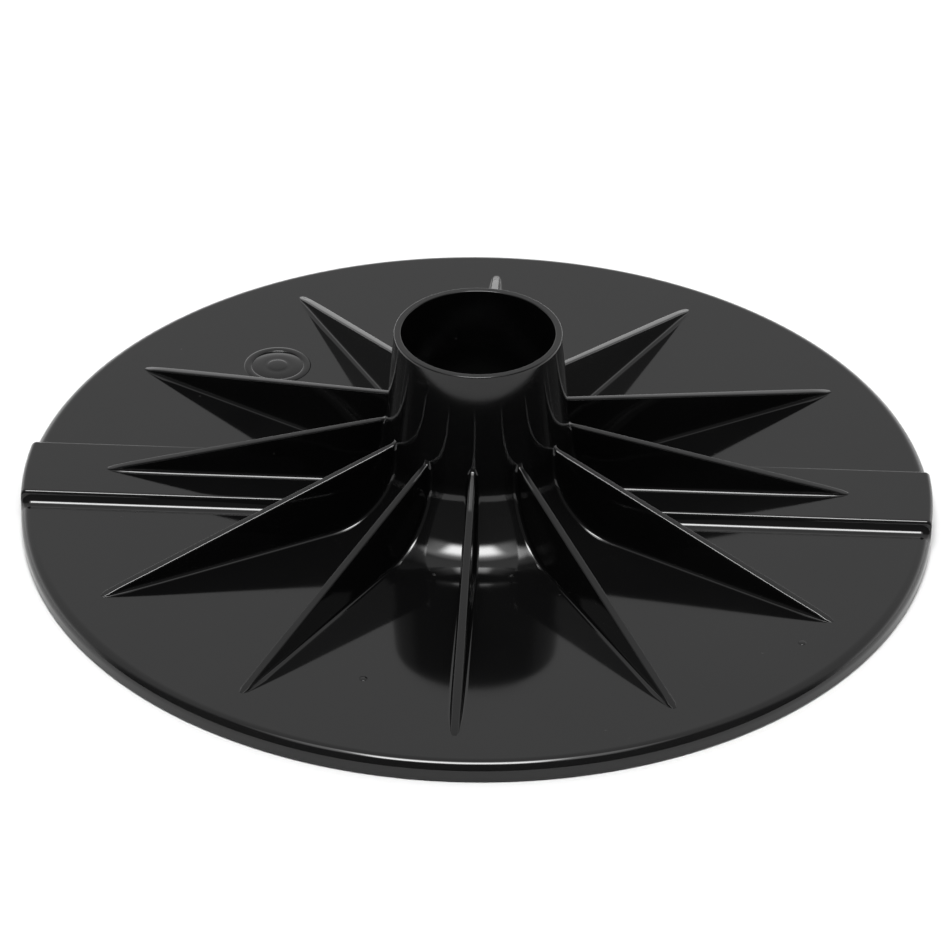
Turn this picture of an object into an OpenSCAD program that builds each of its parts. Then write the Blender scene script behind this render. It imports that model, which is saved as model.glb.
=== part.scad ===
// Round suction plate with a central hose spigot, radial gussets and a raised channel.
// Millimetres. Origin at the centre of the underside, +Z up the spigot, +X along the channel.
// The article is one moulding; it is divided here at its own feature lines.

/* [Plate] */
// outside diameter of the plate
plate_d = 210; // [180:1:260]
// height of the rim from its standing face to the plate's top
rim_h = 4.5; // [3.5:0.1:8]
// rounding along the top of the rim
rim_round = 2.5; // [0.5:0.1:3]
// radial width of the rim band
rim_band = 4; // [3:0.5:8]
// radial width of the rim's standing skirt
skirt_w = 2.5; // [1.5:0.1:4]
// thickness of the plate's skin
skin = 2.6; // [1.8:0.1:3.2]

/* [Spigot] */
// outside diameter of the spigot at its mouth
spigot_d = 38.2; // [30:0.1:52]
// bore diameter
bore_d = 35; // [27:0.1:48]
// height of the spigot above the plate's top
spigot_h = 43.2; // [30:0.1:70]
// draft angle of the spigot's outside
spigot_draft = 4.5; // [0:0.1:5]
// rounding of the lip's two edges
lip_round = 0.3; // [0.1:0.1:0.7]
// radius of the flare between spigot and plate
flare_r = 16.5; // [6:0.5:20]

/* [Gusset ribs] */
// number of ribs around the spigot
rib_count = 12; // [12:1:12]
// rib thickness where it stands on the plate
rib_base_w = 2.2; // [1.5:0.1:3.5]
// rib thickness at its highest point
rib_top_w = 1.5; // [1:0.1:2.5]
// height of the ribs at the spigot, above the plate's top
rib_h = 19.8; // [12:0.1:30]
// radius at which the ribs run out
rib_reach = 94.4; // [70:0.1:100]
// radius at which the two ribs on the channel run out
channel_rib_reach = 85.5; // [60:0.1:100]
// height left at the rib's outer tip
rib_tip_h = 0.3; // [0.2:0.1:1]

/* [Channel] */
// outside width of the raised channel
channel_w = 21; // [14:0.5:30]
// height of the channel's roof above the plate's top
channel_rise = 2.6; // [2:0.1:6]
// rounding along the channel's top edges
channel_round = 0.8; // [0.2:0.1:1.2]

/* [Medallion] */
// diameter of the plain medallion
medallion_d = 16; // [8:0.5:22]
// height of the medallion above the plate's top
medallion_rise = 0.3; // [0.2:0.1:0.8]
// width of the medallion's raised ring
medallion_ring = 1.2; // [0.8:0.1:3]
// distance of the medallion from the axis
medallion_at = 71.3; // [50:0.1:85]

/* [Hidden] */
$fn = 96;
e = 0.01;
far = 300;
plate_r = plate_d / 2;
top_z = rim_h;
under_z = rim_h - skin;
mouth_z = top_z + spigot_h;
spigot_r = spigot_d / 2;
bore_r = bore_d / 2;
roof_z = top_z + channel_rise;
half_w = channel_w / 2;
half_gap = half_w - skin;
gap_z = roof_z - skin;
rim_in_r = plate_r - rim_band;
skirt_in_r = plate_r - skirt_w;
// centre of the flare's outer arc, tangent to the plate's top and to the drafted spigot
flare_cz = top_z + flare_r;
flare_cr = spigot_r + (flare_r + (mouth_z - flare_cz) * sin(spigot_draft)) / cos(spigot_draft);
// centre of the bell mouth's arc, tangent to the bore and to the skin's underside
bell_r = flare_cr - bore_r;
bell_cz = under_z + bell_r;
split_z = bell_cz;
black = [0.02, 0.02, 0.022];

// Radius of the drafted spigot's outside at height z.
function spigot_r_at(z) = spigot_r + (mouth_z - z) * tan(spigot_draft);

// Half-space in front of (side = -1) or behind (side = 1) the channel.
module beside_channel(side) {
  translate([-far / 2, side > 0 ? half_w : -half_w - far, -1])
    cube([far, far, 80]);
}

// Section of everything inside the spigot's and flare's outer surface, axis included.
module flare_fill_2d() {
  difference() {
    union() {
      polygon([
        [0, -1],
        [flare_cr, -1],
        [flare_cr, top_z],
        [flare_cr, flare_cz],
        [spigot_r_at(flare_cz), flare_cz],
        [spigot_r, mouth_z],
        [0, mouth_z]
      ]);
    }
    translate([flare_cr, flare_cz])
      circle(r = flare_r, $fn = 128);
  }
}

module flare_fill() {
  rotate_extrude($fn = 128)
    flare_fill_2d();
}

// Section of the hollow inside: bore above, bell mouth below.
module hollow_2d() {
  translate([-e, -2])
    square([bore_r + e, mouth_z + 4]);
  difference() {
    translate([0, -2])
      square([flare_cr, bell_cz + 2]);
    translate([flare_cr, bell_cz])
      circle(r = bell_r, $fn = 128);
    translate([flare_cr - e, under_z])
      square([1, bell_cz]);
  }
}

// Plain rounded disc from the standing face to height h.
module rounded_disc_2d(h) {
  square([plate_r, h - rim_round]);
  square([plate_r - rim_round, h]);
  intersection() {
    translate([plate_r - rim_round, h - rim_round])
      circle(r = rim_round, $fn = 64);
    square([far, far]);
  }
}

// Section of the space under the skin, inside the skirt.
module recess_2d() {
  translate([0, -1])
    square([skirt_in_r, under_z + 1]);
}

module plate_half(side) {
  intersection() {
    rotate_extrude($fn = 128)
      translate([flare_cr, under_z])
        square([rim_in_r - flare_cr, skin]);
    beside_channel(side);
  }
}

module rim_half(side) {
  intersection() {
    rotate_extrude($fn = 128)
      difference() {
        rounded_disc_2d(top_z);
        recess_2d();
        translate([-e, -1])
          square([rim_in_r + e, top_z + 2]);
      }
    beside_channel(side);
  }
}

// Cross-section of the raised channel, roof and two walls, with rounded top edges.
module channel_2d() {
  difference() {
    union() {
      translate([-half_w, 0])
        square([channel_w, roof_z - channel_round]);
      translate([-half_w + channel_round, 0])
        square([channel_w - 2 * channel_round, roof_z]);
      for (s = [-1, 1])
        translate([s * (half_w - channel_round), roof_z - channel_round])
          circle(r = channel_round, $fn = 48);
    }
    translate([-half_gap, -1])
      square([2 * half_gap, gap_z + 1]);
  }
}

// One half of the channel, from the flare out to the rim; side = 1 is +X.
module channel_half(side) {
  difference() {
    intersection() {
      rotate([90, 0, 90])
        translate([0, 0, side > 0 ? 0 : -plate_r])
          linear_extrude(height = plate_r)
            channel_2d();
      rotate_extrude($fn = 128)
        rounded_disc_2d(roof_z);
    }
    rotate_extrude($fn = 128)
      recess_2d();
    flare_fill();
  }
}

module spigot_tube_2d() {
  outer_split = spigot_r_at(split_z);
  difference() {
    union() {
      polygon([
        [bore_r, split_z],
        [outer_split, split_z],
        [spigot_r_at(mouth_z - lip_round), mouth_z - lip_round],
        [bore_r, mouth_z - lip_round]
      ]);
      translate([bore_r + lip_round, mouth_z - lip_round - e])
        square([spigot_r - bore_r - 2 * lip_round, lip_round + e]);
      for (r = [bore_r + lip_round, spigot_r - lip_round])
        translate([r, mouth_z - lip_round])
          circle(r = lip_round, $fn = 48);
    }
    translate([0, split_z])
      square([bore_r, spigot_h]);
  }
}

module rib(number) {
  on_channel = number == 4 || number == 10;
  foot_z = on_channel ? roof_z : top_z;
  reach = on_channel ? channel_rib_reach : rib_reach;
  slope = (top_z + rib_h - foot_z - rib_tip_h) / (reach - spigot_r);
  angle = (number - 4) * 360 / rib_count;
  rotate([0, 0, angle])
    difference() {
      intersection() {
        rotate([90, 0, 0])
          translate([0, 0, -rib_base_w])
            linear_extrude(height = 2 * rib_base_w)
              polygon([
                [spigot_r - 1, foot_z],
                [reach, foot_z],
                [reach, foot_z + rib_tip_h],
                [spigot_r - 1, top_z + rib_h + slope]
              ]);
        rotate([90, 0, 90])
          linear_extrude(height = plate_r)
            polygon([
              [-rib_base_w / 2, top_z],
              [rib_base_w / 2, top_z],
              [rib_top_w / 2, top_z + rib_h + 1],
              [-rib_top_w / 2, top_z + rib_h + 1]
            ]);
      }
      flare_fill();
    }
}

module plate_front() {
  color(black) plate_half(-1);
}

module plate_rear() {
  color(black) plate_half(1);
}

module rim_front() {
  color(black) rim_half(-1);
}

module rim_rear() {
  color(black) rim_half(1);
}

module channel_left() {
  color(black) channel_half(-1);
}

module channel_right() {
  color(black) channel_half(1);
}

module spigot_tube() {
  color(black)
    rotate_extrude($fn = 128)
      spigot_tube_2d();
}

module spigot_flare() {
  color(black)
    difference() {
      rotate_extrude($fn = 128)
        difference() {
          flare_fill_2d();
          hollow_2d();
          translate([-e, -2])
            square([far, under_z + 2]);
          translate([-e, split_z])
            square([far, far]);
        }
      translate([-far / 2, -half_gap, -1])
        cube([far, 2 * half_gap, gap_z + 1]);
    }
}

module rib_01() { color(black) rib(1); }
module rib_02() { color(black) rib(2); }
module rib_03() { color(black) rib(3); }
module rib_04() { color(black) rib(4); }
module rib_05() { color(black) rib(5); }
module rib_06() { color(black) rib(6); }
module rib_07() { color(black) rib(7); }
module rib_08() { color(black) rib(8); }
module rib_09() { color(black) rib(9); }
module rib_10() { color(black) rib(10); }
module rib_11() { color(black) rib(11); }
module rib_12() { color(black) rib(12); }

// Plain round medallion with a raised ring and a raised centre dot.
module medallion() {
  color(black)
    rotate([0, 0, 135])
      translate([medallion_at, 0, top_z])
        difference() {
          cylinder(d = medallion_d, h = medallion_rise, $fn = 64);
          translate([0, 0, medallion_rise / 2])
            difference() {
              cylinder(d = medallion_d - 2 * medallion_ring, h = medallion_rise, $fn = 64);
              cylinder(d = medallion_d / 4, h = medallion_rise, $fn = 64);
            }
        }
}

plate_front();
plate_rear();
rim_front();
rim_rear();
channel_left();
channel_right();
spigot_tube();
spigot_flare();
rib_01();
rib_02();
rib_03();
rib_04();
rib_05();
rib_06();
rib_07();
rib_08();
rib_09();
rib_10();
rib_11();
rib_12();
medallion();
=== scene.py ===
import math

import bmesh
import bpy
from mathutils import Matrix, Vector


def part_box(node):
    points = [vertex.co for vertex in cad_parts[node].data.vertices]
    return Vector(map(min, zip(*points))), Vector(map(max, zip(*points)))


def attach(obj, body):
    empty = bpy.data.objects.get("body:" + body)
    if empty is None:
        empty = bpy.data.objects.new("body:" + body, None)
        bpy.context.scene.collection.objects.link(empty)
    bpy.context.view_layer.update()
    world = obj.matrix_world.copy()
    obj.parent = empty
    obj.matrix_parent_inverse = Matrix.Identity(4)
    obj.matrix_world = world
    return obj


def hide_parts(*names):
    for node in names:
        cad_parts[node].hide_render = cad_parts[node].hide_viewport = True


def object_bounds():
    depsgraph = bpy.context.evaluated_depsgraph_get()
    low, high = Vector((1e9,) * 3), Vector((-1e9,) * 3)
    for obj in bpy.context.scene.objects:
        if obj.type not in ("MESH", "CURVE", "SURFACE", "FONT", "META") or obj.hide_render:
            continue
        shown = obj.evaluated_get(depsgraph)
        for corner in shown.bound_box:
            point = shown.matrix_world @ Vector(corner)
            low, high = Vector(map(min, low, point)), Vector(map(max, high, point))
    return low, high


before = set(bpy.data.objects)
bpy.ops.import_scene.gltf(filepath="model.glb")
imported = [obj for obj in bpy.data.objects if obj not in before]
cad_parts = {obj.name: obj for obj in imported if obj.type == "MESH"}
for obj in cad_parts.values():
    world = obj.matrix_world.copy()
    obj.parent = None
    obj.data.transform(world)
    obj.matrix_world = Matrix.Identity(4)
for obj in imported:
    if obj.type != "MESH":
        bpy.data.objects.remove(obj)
cad_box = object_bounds()

MM = 0.001
PI = math.pi

# ---------------------------------------------------------------- sizes read from the frame
PLATE_R = cad_box[1][0]
MOUTH_Z = cad_box[1][2]
TOP_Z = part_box("plate_front")[1][2]
UNDER_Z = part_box("plate_front")[0][2]
ROOF_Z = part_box("channel_right")[1][2]
HALF_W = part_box("channel_right")[1][1]
SKIN = TOP_Z - UNDER_Z
HALF_GAP = HALF_W - SKIN
GAP_Z = ROOF_Z - SKIN
RIB_REACH = -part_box("rib_01")[0][1]
CHANNEL_RIB_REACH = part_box("rib_04")[1][0]

# ---------------------------------------------------------------- sizes shared with part.scad
RIM_ROUND = 2.5 * MM
SKIRT_IN_R = PLATE_R - 2.5 * MM
SPIGOT_R = 19.1 * MM
BORE_R = 17.5 * MM
DRAFT_DEG = 4.5
DRAFT = math.radians(DRAFT_DEG)
FLARE_R = 16.5 * MM
LIP_R = 0.3 * MM
RIB_TOP_LINE = TOP_Z + 19.8 * MM
RIB_TIP_H = 0.3 * MM
RIB_COUNT = 12
CHANNEL_RIBS = (4, 10)    # the first of them points along +X

# centres of the flare's arc (outside) and of the bell mouth's arc (underneath)
FLARE_CZ = TOP_Z + FLARE_R
FLARE_CR = SPIGOT_R + (FLARE_R + (MOUTH_Z - FLARE_CZ) * math.sin(DRAFT)) / math.cos(DRAFT)
BELL_R = FLARE_CR - BORE_R
BELL_CZ = UNDER_Z + BELL_R

# ---------------------------------------------------------------- sizes of the finer shapes
SEGMENTS = 384            # round the body
FOOT_ARRIS = 0.3 * MM     # rounding of the standing skirt's edges
SKIRT_FILLET = 0.8 * MM   # inner corner between skirt and skin
PASSAGE_SPLIT = 36 * MM   # inside this radius the passage cut keeps the flare's wall

BLEND_R = 2.0 * MM        # fillet between the channel's roof and the flare, under a rib
RIB_W0 = 1.1 * MM         # rib half thickness at the plate
RIB_W1 = 0.75 * MM        # rib half thickness at the top
FOOT_R = 0.95 * MM        # fillet along a rib's foot
NECK_R = 0.9 * MM         # fillet where a rib's top runs into the tube
TIP_RUN = 6.0 * MM        # length over which a rib's tip sinks into the plate
CROWN_R = 0.42 * MM       # rounding of a rib's top edge
BURY = 0.25 * MM          # how deep a rib's skirt is let into the moulding
SLIM_BELOW = 4 * MM       # a rib lower than this gets thinner towards its tip
SLIM_FOOT = 0.18 * MM     # half thickness that it loses at the foot
SLIM_TOP = 0.22 * MM      # half thickness that it loses at the top
NOSE_RUN = 1.2 * MM       # length of the rounded nose in plan
NOSE_SHARE = 0.35         # the nose's width there starts from this share, under a root

EDGE_R = 0.8 * MM         # channel's top edges
END_R = 1.3 * MM          # channel's end at the rim
CHANNEL_FOOT = 2.5 * MM   # fillet along the channel's foot
FOOT_SWEEP = 90 * 0.86    # degrees of that fillet that show

MARK_R = 0.9 * MM
MARK_RISE = 0.16 * MM
MARKS = ((-21.0 * MM, -75.0 * MM), (74.9 * MM, -55.7 * MM))


# ---------------------------------------------------------------- helpers
def arc(cr, cz, radius, start, end, steps, skip_first=False):
    """Points on an arc in the (r, z) plane, angles in degrees."""
    pts = []
    for i in range(1 if skip_first else 0, steps + 1):
        a = math.radians(start + (end - start) * i / steps)
        pts.append((cr + radius * math.cos(a), cz + radius * math.sin(a)))
    return pts


def tube_r(z):
    """Outer radius of the drafted spigot at height z."""
    return SPIGOT_R + (MOUTH_Z - z) * math.tan(DRAFT)


def path_lengths(points):
    """Running length at each point of a path in the (r, z) plane."""
    lengths = [0.0]
    for a, b in zip(points, points[1:]):
        lengths.append(lengths[-1] + math.hypot(a[0] - b[0], a[1] - b[1]))
    return lengths


def new_object(name, verts, faces, smooth=True, sharp_deg=None):
    mesh = bpy.data.meshes.new(name)
    mesh.from_pydata([tuple(v) for v in verts], [], faces)
    mesh.validate()
    bm = bmesh.new()
    bm.from_mesh(mesh)
    bmesh.ops.remove_doubles(bm, verts=bm.verts, dist=1e-8)
    bmesh.ops.dissolve_degenerate(bm, edges=bm.edges, dist=1e-8)
    bmesh.ops.recalc_face_normals(bm, faces=bm.faces)
    bm.to_mesh(mesh)
    bm.free()
    obj = bpy.data.objects.new(name, mesh)
    bpy.context.scene.collection.objects.link(obj)
    for p in mesh.polygons:
        p.use_smooth = smooth
    if sharp_deg is not None:
        mesh.set_sharp_from_angle(angle=math.radians(sharp_deg))
    return obj


def turned(profile, segments, closed, centre=(0.0, 0.0, 0.0)):
    """Vertices and faces of an (r, z) profile turned about an upright axis."""
    n = len(profile)
    last = n if closed else n - 1
    cx, cy, cz = centre
    verts, faces = [], []
    for i in range(segments):
        a = 2 * PI * i / segments
        c, s = math.cos(a), math.sin(a)
        verts += [(r * c + cx, r * s + cy, z + cz) for r, z in profile]
    for i in range(segments):
        j = (i + 1) % segments
        for k in range(last):
            m = (k + 1) % n
            faces.append((i * n + k, j * n + k, j * n + m, i * n + m))
    return verts, faces


def bake_modifiers(obj):
    """Replace the mesh with its modified self."""
    depsgraph = bpy.context.evaluated_depsgraph_get()
    mesh = bpy.data.meshes.new_from_object(obj.evaluated_get(depsgraph))
    old = obj.data
    obj.modifiers.clear()
    obj.data = mesh
    bpy.data.meshes.remove(old)


def cut_box(obj, low, high):
    """Take a box out of obj."""
    (x0, y0, z0), (x1, y1, z1) = low, high
    verts = [(x, y, z) for x in (x0, x1) for y in (y0, y1) for z in (z0, z1)]
    faces = [(0, 1, 3, 2), (4, 6, 7, 5), (0, 4, 5, 1),
             (2, 3, 7, 6), (0, 2, 6, 4), (1, 5, 7, 3)]
    cutter = new_object("cutter", verts, faces, False)
    mod = obj.modifiers.new("cut", "BOOLEAN")
    mod.object = cutter
    mod.operation = "DIFFERENCE"
    mod.solver = "EXACT"
    bake_modifiers(obj)
    bpy.data.objects.remove(cutter)


def merge(target, others):
    bm = bmesh.new()
    bm.from_mesh(target.data)
    for other in others:
        bm.from_mesh(other.data)
    bm.to_mesh(target.data)
    bm.free()
    for other in others:
        mesh = other.data
        bpy.data.objects.remove(other)
        bpy.data.meshes.remove(mesh)


def settle_normals(obj):
    """Let the large flat faces decide the shading where they meet small ones."""
    obj.data.set_sharp_from_angle(angle=math.radians(35))
    mod = obj.modifiers.new("settle", "WEIGHTED_NORMAL")
    mod.mode = "FACE_AREA"
    mod.weight = 60
    mod.keep_sharp = True
    bake_modifiers(obj)


# ---------------------------------------------------------------- the turned body
def body_profile():
    """Closed (r, z) loop: skirt, rim, plate, flare, spigot, bore, bell mouth, underside."""
    e = FOOT_ARRIS
    edge = PLATE_R - RIM_ROUND
    lip_z = MOUTH_Z - LIP_R
    f = SKIRT_FILLET
    # skirt's foot and the rim
    p = [(SKIRT_IN_R + e, 0.0), (PLATE_R - e, 0.0)]
    p += arc(PLATE_R - e, e, e, -90, 0, 5, True)
    p += [(PLATE_R, e + 0.1 * MM), (PLATE_R, TOP_Z - RIM_ROUND - 0.1 * MM)]
    p += arc(PLATE_R - RIM_ROUND, TOP_Z - RIM_ROUND, RIM_ROUND, 0, 90, 24)
    # plate's top, with close rows beside each arc so that the flat stays flat
    p += [(edge - d * MM, TOP_Z) for d in (0.1, 0.4, 2)]
    p += [(r * MM, TOP_Z) for r in (98, 90, 80, 70, 60, 50, 43)]
    p += [(FLARE_CR + d * MM, TOP_Z) for d in (1.2, 0.3, 0.08)]
    # flare and spigot
    p += arc(FLARE_CR, FLARE_CZ, FLARE_R, 270, 180 + DRAFT_DEG, 44)
    p += [(tube_r(z * MM), z * MM) for z in (15.5, 16.0, 18.0, 22.0, 28.0, 34.0, 40.0, 45.0)
          if z * MM > p[-1][1] + 0.2 * MM]
    p += [(tube_r(lip_z - d * MM), lip_z - d * MM) for d in (0.3, 0.06)]
    # lip
    p += arc(SPIGOT_R - LIP_R, lip_z, LIP_R, DRAFT_DEG, 90, 10)
    p += [(SPIGOT_R - LIP_R - 0.05 * MM, MOUTH_Z), (BORE_R + LIP_R + 0.05 * MM, MOUTH_Z)]
    p += arc(BORE_R + LIP_R, lip_z, LIP_R, 90, 180, 10)
    # bore and bell mouth
    p += [(BORE_R, lip_z - 0.1 * MM), (BORE_R, lip_z - 1 * MM)]
    p += [(BORE_R, z * MM) for z in (40, 32, 25)]
    p += [(BORE_R, BELL_CZ + 0.2 * MM)]
    p += arc(FLARE_CR, BELL_CZ, BELL_R, 180, 270, 36)
    # underside and the skirt's inside
    p += [(FLARE_CR + 0.2 * MM, UNDER_Z)]
    p += [(r * MM, UNDER_Z) for r in (45, 60, 80)]
    p += [(SKIRT_IN_R - f - 1 * MM, UNDER_Z), (SKIRT_IN_R - f - 0.1 * MM, UNDER_Z)]
    p += arc(SKIRT_IN_R - f, UNDER_Z - f, f, 90, 0, 6)
    p += arc(SKIRT_IN_R + e, e, e, 180, 270, 4)[:-1]
    return p


def moulded_body():
    """Plate, rim, spigot and flare in one, with the passage under the channel cut out."""
    obj = new_object("moulded_body", *turned(body_profile(), SEGMENTS, True), True, 40)
    far = 120 * MM
    mid = PASSAGE_SPLIT
    deep = -5 * MM
    cut_box(obj, (-mid - 1 * MM, -HALF_GAP, deep), (mid + 1 * MM, HALF_GAP, GAP_Z))
    for x0, x1 in ((mid, far), (-far, -mid)):
        cut_box(obj, (x0, -HALF_GAP, deep), (x1, HALF_GAP, TOP_Z + 1 * MM))
    return obj


def witness_mark(x, y):
    """Small shallow button left by an ejector pin."""
    prof = [(0.0, -0.2 * MM), (MARK_R, -0.2 * MM), (MARK_R, 0.0)]
    for k in range(1, 6):
        a = 0.5 * PI * k / 6
        prof.append((MARK_R * math.cos(a), MARK_RISE * math.sin(a)))
    prof.append((0.0, MARK_RISE))
    return new_object("mark", *turned(prof, 32, False, (x, y, TOP_Z)), True, 50)


# ---------------------------------------------------------------- ribs
BLEND_CZ = ROOF_Z + BLEND_R
BLEND_CR = FLARE_CR - math.sqrt((FLARE_R - BLEND_R) ** 2 - (FLARE_CZ - BLEND_CZ) ** 2)


def base_path(floor_z, reach, stop_z, step=0.6 * MM):
    """Points (r, z, nr, nz) along the surface under a rib, from its tip up to stop_z."""
    on_roof = floor_z > TOP_Z + 1e-6
    flat_end = BLEND_CR if on_roof else FLARE_CR
    pts = []
    n = max(8, int((reach - flat_end) / (1.6 * MM)))
    for i in range(n + 1):
        t = i / n
        pts.append((reach + (flat_end - reach) * t, floor_z, 0.0, 1.0))
    start = 270
    if on_roof:
        start = math.degrees(math.atan2(BLEND_CZ - FLARE_CZ, BLEND_CR - FLARE_CR)) % 360
        for r, z in arc(BLEND_CR, BLEND_CZ, BLEND_R, 270, start, 8, True):
            pts.append((r, z, (BLEND_CR - r) / BLEND_R, (BLEND_CZ - z) / BLEND_R))
    for r, z in arc(FLARE_CR, FLARE_CZ, FLARE_R, start, 180 + DRAFT_DEG, 26, True):
        pts.append((r, z, (FLARE_CR - r) / FLARE_R, (FLARE_CZ - z) / FLARE_R))
    z0 = pts[-1][1]
    n = max(3, int((stop_z - z0) / step))
    for i in range(1, n + 1):
        z = z0 + (stop_z - z0) * i / n
        pts.append((tube_r(z), z, math.cos(DRAFT), math.sin(DRAFT)))
    return pts


def rib_half(z):
    """Half thickness of a rib at height z."""
    t = min(1.0, max(0.0, (z - TOP_Z) / (RIB_TOP_LINE - TOP_Z + 1 * MM)))
    return RIB_W0 + (RIB_W1 - RIB_W0) * t


def rib_neck(slope, reach, tip_z):
    """Arc between the rib's top line and the tube: its centre, points and top normal."""
    beta = math.atan(slope)
    nb = (math.sin(beta), math.cos(beta))
    nd = (math.cos(DRAFT), math.sin(DRAFT))
    pb = nb[0] * reach + nb[1] * tip_z + NECK_R
    pd = nd[0] * SPIGOT_R + nd[1] * MOUTH_Z + NECK_R
    det = nb[0] * nd[1] - nb[1] * nd[0]
    cr = (pb * nd[1] - nb[1] * pd) / det
    cz = (nb[0] * pd - pb * nd[0]) / det
    a0 = math.degrees(math.atan2(-nb[1], -nb[0]))
    a1 = math.degrees(math.atan2(-nd[1], -nd[0]))
    if a1 > a0:
        a1 -= 360
    return (cr, cz), arc(cr, cz, NECK_R, a0, a1, 10), nb


def rib_section(br, bz, bnr, bnz, top, outer, reach):
    """Half section of a rib, from its buried skirt up to its crown, mirrored to the other side."""
    tr, tz, tnr, tnz = top
    height = math.hypot(tr - br, tz - bz)
    full = min(1.0, height / SLIM_BELOW)
    nose = min(1.0, NOSE_SHARE + (reach - br) / NOSE_RUN) ** 0.5
    half_b = (rib_half(bz) - SLIM_FOOT * (1 - full)) * nose
    half_t = (rib_half(tz) - SLIM_TOP * (1 - full)) * nose
    if outer:
        near = min(1.0, (reach - br) / TIP_RUN)
        tz -= (1 - near) ** 2 * (RIB_TIP_H - 0.04 * MM)
        height = math.hypot(tr - br, tz - bz)
        spread = lift_max = min(FOOT_R, 0.5 * height)
    else:
        spread = min(FOOT_R, math.sqrt(0.8 * height * FOOT_R))
        lift_max = min(FOOT_R, 0.6 * height)
    crown = min(CROWN_R, 0.35 * height)
    foot_n, side_n, crown_n = 6, 4, 8
    sec = [(br - bnr * BURY, bz - bnz * BURY, half_b + spread)]
    for k in range(foot_n + 1):
        phi = 0.5 * PI * k / foot_n
        lift = lift_max * (1 - math.cos(phi))
        sec.append((br + bnr * lift, bz + bnz * lift, half_b + spread * (1 - math.sin(phi))))
    fr, fz = br + bnr * lift_max, bz + bnz * lift_max
    kr, kz = tr - tnr * crown, tz - tnz * crown
    for k in range(1, side_n + 1):
        t = k / side_n
        y = half_b + (half_t - half_b) * t
        sec.append((fr + (kr - fr) * t, fz + (kz - fz) * t, y))
    for k in range(1, crown_n + 1):
        phi = 0.5 * PI * k / crown_n
        sec.append((kr + tnr * crown * math.sin(phi), kz + tnz * crown * math.sin(phi),
                    half_t - CROWN_R * (1 - math.cos(phi))))
    sec.append((tr, tz, 0.0))
    return sec + [(r, z, -y) for r, z, y in reversed(sec[:-1])]


def gusset(number):
    on_channel = number in CHANNEL_RIBS
    floor_z = ROOF_Z if on_channel else TOP_Z
    reach = CHANNEL_RIB_REACH if on_channel else RIB_REACH
    angle = math.radians((number - CHANNEL_RIBS[0]) * 360 / RIB_COUNT)
    tip_z = floor_z + RIB_TIP_H
    slope = (RIB_TOP_LINE - floor_z - RIB_TIP_H) / (reach - SPIGOT_R)
    (cr, cz), neck, normal = rib_neck(slope, reach, tip_z)
    base = base_path(floor_z, reach, neck[-1][1])
    lengths = path_lengths(base)
    straight = math.hypot(neck[0][0] - reach, neck[0][1] - tip_z)
    top_total = straight + path_lengths(neck)[-1]

    def top_at(u):
        """Point and normal on the top curve: straight from the tip, then round the neck."""
        s = u * top_total
        if s <= straight:
            t = s / straight
            return (reach + (neck[0][0] - reach) * t, tip_z + (neck[0][1] - tip_z) * t, *normal)
        s -= straight
        for a, b in zip(neck, neck[1:]):
            d = math.hypot(a[0] - b[0], a[1] - b[1])
            if s <= d or b is neck[-1]:
                t = min(1.0, s / d)
                r, z = a[0] + (b[0] - a[0]) * t, a[1] + (b[1] - a[1]) * t
                m = math.hypot(cr - r, cz - z)
                return (r, z, (cr - r) / m, (cz - z) / m)
            s -= d

    ca, sa = math.cos(angle), math.sin(angle)
    verts, faces = [], []
    for i, point in enumerate(base):
        top = top_at(lengths[i] / lengths[-1])
        section = rib_section(*point, top, i < len(base) // 2, reach)
        for r, z, y in section:
            x = math.sqrt(max(r * r - y * y, 0.0))
            verts.append((x * ca - y * sa, x * sa + y * ca, z))
    n = len(section)
    rows = len(base)
    for i in range(rows - 1):
        a, b = i * n, (i + 1) * n
        faces += [(a + k, b + k, b + k + 1, a + k + 1) for k in range(n - 1)]
        faces.append((a + n - 1, b + n - 1, b, a))
    faces.append(tuple(range(n)))
    faces.append(tuple(reversed([(rows - 1) * n + k for k in range(n)])))
    return new_object("gusset_%02d" % number, verts, faces, True, 50)


# ---------------------------------------------------------------- raised channel
def run_stations(inner, end_round, count=30, round_steps=14):
    """(radius, drop) pairs along the channel, rounded down at the rim."""
    edge = PLATE_R - end_round
    stations = [(inner + (edge - inner) * i / count, 0.0) for i in range(count + 1)]
    for k in range(1, round_steps + 1):
        a = 0.5 * PI * k / round_steps
        stations.append((edge + end_round * math.sin(a), end_round * (1 - math.cos(a))))
    return stations


def rim_drop(r):
    """How far the rim's rounding has fallen below the plate's top at radius r."""
    over = max(0.0, r - (PLATE_R - RIM_ROUND))
    return RIM_ROUND - math.sqrt(max(0.0, RIM_ROUND ** 2 - over ** 2))


def channel_fillet(side, face):
    """Concave foot between the channel's long wall and the plate."""
    bury = 0.3 * MM
    steps = 12
    sec = [(HALF_W - bury, -bury), (HALF_W + CHANNEL_FOOT, -bury)]
    for k in range(steps + 1):
        a = math.radians(FOOT_SWEEP * k / steps)
        sec.append((HALF_W + CHANNEL_FOOT - CHANNEL_FOOT * math.sin(a),
                    CHANNEL_FOOT - CHANNEL_FOOT * math.cos(a)))
    sec.append((HALF_W - bury, sec[-1][1]))
    n = len(sec)
    rows = run_stations(29 * MM, RIM_ROUND)
    verts, faces = [], []
    for r, drop in rows:
        for y, lift in sec:
            y = min(y, r * 0.9)
            verts.append((side * math.sqrt(r * r - y * y), face * y, TOP_Z - drop + lift))
    for i in range(len(rows) - 1):
        for k in range(n):
            m = (k + 1) % n
            faces.append((i * n + k, (i + 1) * n + k, (i + 1) * n + m, i * n + m))
    faces.append(tuple(range(n)))
    faces.append(tuple((len(rows) - 1) * n + k for k in range(n)))
    return new_object("channel_foot", verts, faces, True, 50)


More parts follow.
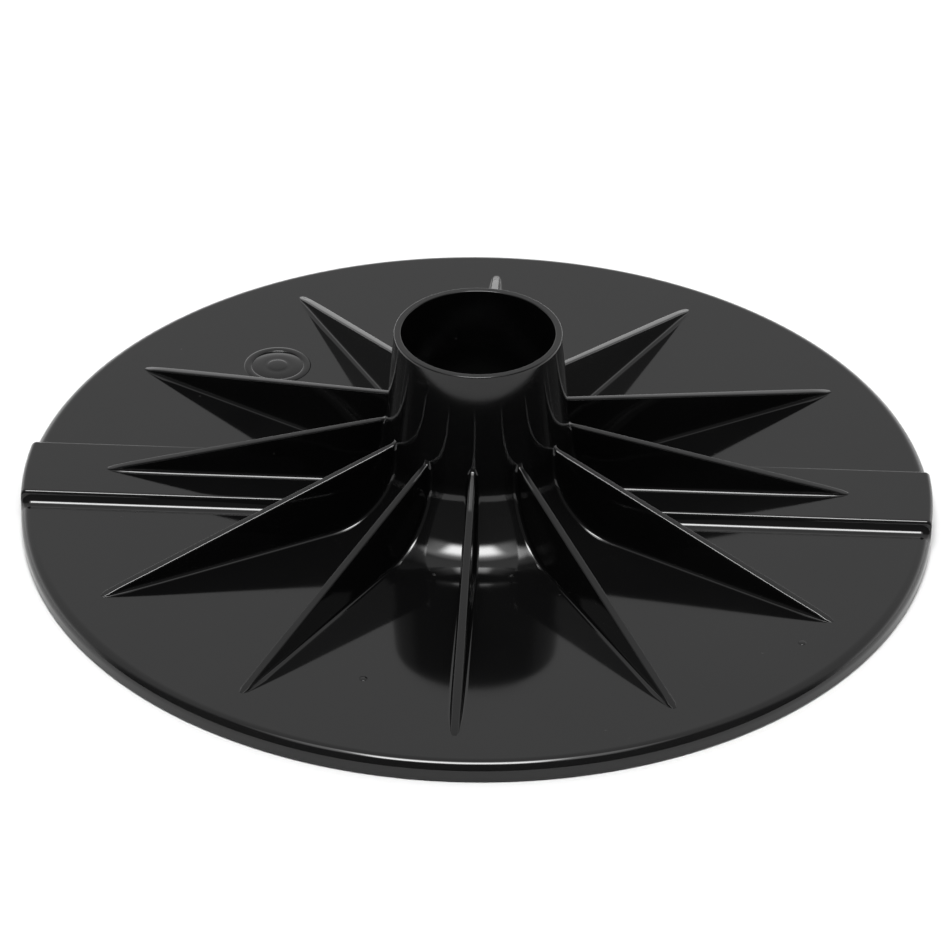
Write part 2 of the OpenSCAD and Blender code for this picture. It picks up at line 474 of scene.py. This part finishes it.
def channel_section():
    """(y, kind, value, is_leg) points across the channel, from +Y to -Y.

    The value is a share of the wall's height for kind "wall", and a height above the roof for
    "edge" and "roof".
    """
    half = [(HALF_W, "wall", t, True) for t in (0.0, 0.3, 0.6)]
    for k in range(9):
        a = 0.5 * PI * k / 8
        y = HALF_W - EDGE_R + EDGE_R * math.cos(a)
        half.append((y, "edge", EDGE_R * math.sin(a) - EDGE_R, True))
    inner = HALF_GAP + 0.02 * MM
    half += [(9.0 * MM, "roof", 0.0, True), (inner, "roof", 0.0, True)]
    half += [(y, "roof", 0.0, False) for y in (inner, 6.0 * MM, 3.0 * MM, 0.0)]
    return half + [(-y, kind, value, leg) for y, kind, value, leg in reversed(half[:-1])]


def channel_cover(side, name):
    """Inverted U over the passage: rounded edges, legs let into the plate, rounded end."""
    section = channel_section()
    n = len(section)
    rows = run_stations(28.3 * MM, END_R)
    ceiling = GAP_Z + 0.03 * MM
    verts, faces = [], []
    for r, drop in rows:
        r -= 0.01 * MM
        roof = ROOF_Z - drop
        leg = TOP_Z - max(0.6 * MM, rim_drop(r) + 0.3 * MM)
        upper, under = [], []
        for y, kind, value, is_leg in section:
            x = side * math.sqrt(r * r - y * y)
            z = roof + value
            if kind == "wall":
                z = leg + (roof - EDGE_R - leg) * value
            upper.append((x, y, z))
            under.append((x, y, leg if is_leg else ceiling))
        verts += upper + under
    m = 2 * n
    for i in range(len(rows) - 1):
        for k in range(n - 1):
            a, b = i * m + k, (i + 1) * m + k
            faces.append((a, b, b + 1, a + 1))
            faces.append((a + n, a + n + 1, b + n + 1, b + n))
    for i in (0, len(rows) - 1):
        for k in range(n - 1):
            a = i * m + k
            faces.append((a, a + 1, a + n + 1, a + n))
    return new_object(name, verts, faces, True, 40)


# ---------------------------------------------------------------- medallion
def medallion():
    """Plain round mark: a raised ring with a raised dot in its middle."""
    outer_r, ring_r, rise, sunk = 8.0 * MM, 0.95 * MM, 0.3 * MM, 0.06 * MM
    prof = [(0.0, -0.3 * MM), (outer_r, -0.3 * MM), (outer_r, -0.05 * MM)]
    for k in range(13):
        a = PI * k / 12
        prof.append((outer_r - ring_r + ring_r * math.cos(a),
                     -0.02 * MM + (rise + 0.02 * MM) * math.sin(a)))
    prof += [(outer_r - 2.05 * MM, sunk), (3.2 * MM, sunk), (2.5 * MM, sunk)]
    for k in range(1, 8):
        a = 0.5 * PI * k / 8
        prof.append((2.4 * MM * math.cos(a), sunk + (rise - sunk) * math.sin(a)))
    prof.append((0.0, rise))
    low, high = (Vector(v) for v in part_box("medallion"))
    c = (low + high) / 2
    return new_object("medallion_relief", *turned(prof, 96, False, (c.x, c.y, TOP_Z)), True, 35)


# ---------------------------------------------------------------- material
class Nodes:
    """Short ways to add shader nodes to one tree."""

    def __init__(self, tree):
        self.tree = tree
        tree.nodes.clear()

    def add(self, kind, **settings):
        n = self.tree.nodes.new(kind)
        for key, value in settings.items():
            setattr(n, key, value)
        return n

    def link(self, source, target):
        self.tree.links.new(source, target)

    def math(self, op, *values):
        n = self.add("ShaderNodeMath", operation=op)
        for i, v in enumerate(values):
            if isinstance(v, (int, float)):
                n.inputs[i].default_value = v
            else:
                self.link(v, n.inputs[i])
        return n.outputs[0]

    def noise(self, scale, detail, rough, vector):
        n = self.add("ShaderNodeTexNoise")
        n.inputs["Scale"].default_value = scale
        n.inputs["Detail"].default_value = detail
        n.inputs["Roughness"].default_value = rough
        self.link(vector, n.inputs["Vector"])
        return n.outputs["Fac"]

    def ramp(self, value, low, high, out_low=0.0, out_high=1.0, smooth=False):
        n = self.add("ShaderNodeMapRange")
        if smooth:
            n.interpolation_type = "SMOOTHSTEP"
        n.inputs["From Min"].default_value = low
        n.inputs["From Max"].default_value = high
        n.inputs["To Min"].default_value = out_low
        n.inputs["To Max"].default_value = out_high
        self.link(value, n.inputs["Value"])
        return n.outputs["Result"]


DEEP_BLACK = (0.0031, 0.0031, 0.0032, 1)
DUSTY_BLACK = (0.0150, 0.0148, 0.0145, 1)
ROUGH_POLISHED = 0.060
ROUGH_HAZY = 0.095
RELIEF = 0.00004          # metres of bump between the wave's lows and highs


def plastic():
    """Glossy black moulded plastic: flow waviness, handling haze, hair scratches and dust."""
    mat = bpy.data.materials.new("black_gloss_moulding")
    mat.use_nodes = True
    t = Nodes(mat.node_tree)
    out = t.add("ShaderNodeOutputMaterial")
    bsdf = t.add("ShaderNodeBsdfPrincipled")
    t.link(bsdf.outputs["BSDF"], out.inputs["Surface"])
    bsdf.inputs["IOR"].default_value = 1.47
    coord = t.add("ShaderNodeTexCoord").outputs["Object"]

    # handling haze: slow patches that are a little less polished
    haze = t.noise(22.0, 4.0, 0.55, coord)
    # hair scratches: two stretched noises crossing each other
    hairs = []
    for turn, size in ((0.6, 420.0), (-1.1, 520.0)):
        mapping = t.add("ShaderNodeMapping")
        mapping.inputs["Rotation"].default_value = (0.0, 0.0, turn)
        mapping.inputs["Scale"].default_value = (0.05, 1.0, 1.0)
        t.link(coord, mapping.inputs["Vector"])
        hairs.append(t.ramp(t.noise(size, 2.0, 0.5, mapping.outputs["Vector"]), 0.70, 0.78))
    scratch = t.math("MAXIMUM", hairs[0], hairs[1])
    # dust: sparse specks
    cells = t.add("ShaderNodeTexVoronoi", feature="F1")
    cells.inputs["Scale"].default_value = 230.0
    t.link(coord, cells.inputs["Vector"])
    speck = t.ramp(cells.outputs["Distance"], 0.05, 0.09, 1.0, 0.0)
    some = t.ramp(t.noise(60.0, 2.0, 0.5, coord), 0.58, 0.66)
    dust = t.math("MULTIPLY", speck, some)

    polish = t.ramp(haze, 0.3, 0.7, ROUGH_POLISHED, ROUGH_HAZY)
    rough = t.math("ADD", polish, t.math("MULTIPLY", scratch, 0.05))
    rough = t.math("ADD", rough, t.math("MULTIPLY", dust, 0.25))
    t.link(rough, bsdf.inputs["Roughness"])

    # colour: deep neutral black, a trace lighter where dust or haze sits
    mix = t.add("ShaderNodeMix", data_type="RGBA")
    mix.inputs["A"].default_value = DEEP_BLACK
    mix.inputs["B"].default_value = DUSTY_BLACK
    film = t.ramp(haze, 0.45, 0.8, 0.0, 0.12)
    t.link(t.math("ADD", t.math("MULTIPLY", dust, 0.8), film), mix.inputs["Factor"])
    t.link(mix.outputs["Result"], bsdf.inputs["Base Color"])

    # relief: melt-flow waviness, a very fine grain, and the scratches cut into them
    wave = t.noise(34.0, 2.0, 0.4, coord)
    grain = t.noise(900.0, 3.0, 0.6, coord)
    height = t.math("ADD", wave, t.math("MULTIPLY", grain, 0.012))
    height = t.math("SUBTRACT", height, t.math("MULTIPLY", scratch, 0.004))
    bump = t.add("ShaderNodeBump")
    bump.inputs["Strength"].default_value = 1.0
    bump.inputs["Distance"].default_value = RELIEF
    t.link(height, bump.inputs["Height"])
    t.link(bump.outputs["Normal"], bsdf.inputs["Normal"])
    return mat


# ---------------------------------------------------------------- stage, light, camera
def pale_floor():
    mat = bpy.data.materials.new("pale_floor")
    mat.use_nodes = True
    shader = mat.node_tree.nodes["Principled BSDF"]
    shader.inputs["Base Color"].default_value = (0.82, 0.82, 0.82, 1)
    shader.inputs["Roughness"].default_value = 0.9
    shader.inputs["Specular IOR Level"].default_value = 0.1
    corners = [(-6, -6, 0), (6, -6, 0), (6, 6, 0), (-6, 6, 0)]
    obj = new_object("floor", corners, [(0, 1, 2, 3)], False)
    obj.data.materials.append(mat)
    obj.location.z = -0.0002
    return obj


# soft panel overhead, as windows in the sky plane (x / z, y / z of a direction)
CORE_X = (-0.31, -0.20, 0.13, 0.24)
CORE_Y = (-0.42, -0.24, -0.15, 0.03)
CORE_GAIN = 21.0
HALO_X = (-0.62, -0.30, 0.26, 0.56)
HALO_Y = (-0.45, -0.25, 0.00, 0.14)
HALO_GAIN = 2.6
ROOM_DIM = 0.15           # the camera's side
ROOM_BACK = 0.57          # added behind the object
ROOM_LOW = 0.9            # added behind it near the horizon


def studio():
    """White room behind the object, dim on the camera's side, a soft panel overhead."""
    world = bpy.data.worlds.new("studio")
    bpy.context.scene.world = world
    world.use_nodes = True
    t = Nodes(world.node_tree)
    out = t.add("ShaderNodeOutputWorld")
    sky = t.add("ShaderNodeBackground")
    t.link(sky.outputs[0], out.inputs[0])
    split = t.add("ShaderNodeSeparateXYZ")
    t.link(t.add("ShaderNodeTexCoord").outputs["Generated"], split.inputs[0])
    dir_x, dir_y, dir_z = split.outputs

    def smooth(value, low, high):
        return t.ramp(value, low, high, smooth=True)

    def window(value, low, low_full, high_full, high):
        fall = t.math("SUBTRACT", 1.0, smooth(value, high_full, high))
        return t.math("MULTIPLY", smooth(value, low, low_full), fall)

    def patch(x_range, y_range, gain):
        area = t.math("MULTIPLY", window(px, *x_range), window(py, *y_range))
        return t.math("MULTIPLY", area, gain)

    back = smooth(dir_y, -0.10, 0.22)
    low = t.math("SUBTRACT", 1.0, smooth(dir_z, 0.0, 0.42))
    wall = t.math("MULTIPLY", back, t.math("MULTIPLY_ADD", low, ROOM_LOW, ROOM_BACK))
    room = t.math("ADD", ROOM_DIM, wall)
    up = smooth(dir_z, 0.5, 0.7)
    flat = t.math("MAXIMUM", dir_z, 0.3)
    px = t.math("DIVIDE", dir_x, flat)
    py = t.math("DIVIDE", dir_y, flat)
    panel = t.math("ADD", patch(CORE_X, CORE_Y, CORE_GAIN), patch(HALO_X, HALO_Y, HALO_GAIN))
    t.link(t.math("ADD", room, t.math("MULTIPLY", panel, up)), sky.inputs["Strength"])
    sky.inputs["Color"].default_value = (1, 1, 1, 1)


# camera fitted to the photograph
CAM_DISTANCE = 1.1667295                 # metres from the plate's top centre
CAM_ELEVATION = math.radians(33.88060)
CAM_TURN = math.radians(-2.72086)      # about the plate's axis
CAM_ROLL = math.radians(-0.44318)
CAM_LENS = 191.51750
CAM_SENSOR = 36
CAM_RIGHT = -0.46471 * MM               # the camera's own shift to its right and upwards
CAM_UP = 3.51224 * MM


def add_camera():
    turn = Matrix.Rotation(-CAM_TURN, 3, "Z")
    back = turn @ Vector((0, -math.cos(CAM_ELEVATION), math.sin(CAM_ELEVATION)))
    right = turn @ Vector((1, 0, 0))
    up = back.cross(right)
    x_axis = right * math.cos(CAM_ROLL) - up * math.sin(CAM_ROLL)
    y_axis = right * math.sin(CAM_ROLL) + up * math.cos(CAM_ROLL)
    pose = Matrix((x_axis, y_axis, back)).transposed().to_4x4()
    pose.translation = Vector((0, 0, TOP_Z)) + back * CAM_DISTANCE + right * CAM_RIGHT + up * CAM_UP
    data = bpy.data.cameras.new("camera")
    data.sensor_width = CAM_SENSOR
    data.lens = CAM_LENS
    data.clip_end = 50
    obj = bpy.data.objects.new("camera", data)
    bpy.context.scene.collection.objects.link(obj)
    obj.matrix_world = pose
    bpy.context.scene.camera = obj


# ---------------------------------------------------------------- put together
body = moulded_body()
gussets = [gusset(number) for number in range(1, RIB_COUNT + 1)]
feet = [channel_fillet(side, face) for side in (1, -1) for face in (1, -1)]
merge(body, feet + [witness_mark(x, y) for x, y in MARKS])
channels = [channel_cover(1, "channel_cover_right"), channel_cover(-1, "channel_cover_left")]
for obj in [body] + channels:
    settle_normals(obj)
badge = medallion()

gloss = plastic()
for obj in [body] + gussets + channels + [badge]:
    obj.data.materials.clear()
    obj.data.materials.append(gloss)
    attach(obj, "root")

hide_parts("plate_front", "plate_rear", "rim_front", "rim_rear",
            "spigot_tube", "spigot_flare")
for number, obj in enumerate(gussets, 1):
    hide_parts("rib_%02d" % number)
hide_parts("channel_right")
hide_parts("channel_left")
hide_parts("medallion")

pale_floor()
studio()
add_camera()
bpy.context.scene.view_settings.view_transform = "Standard"
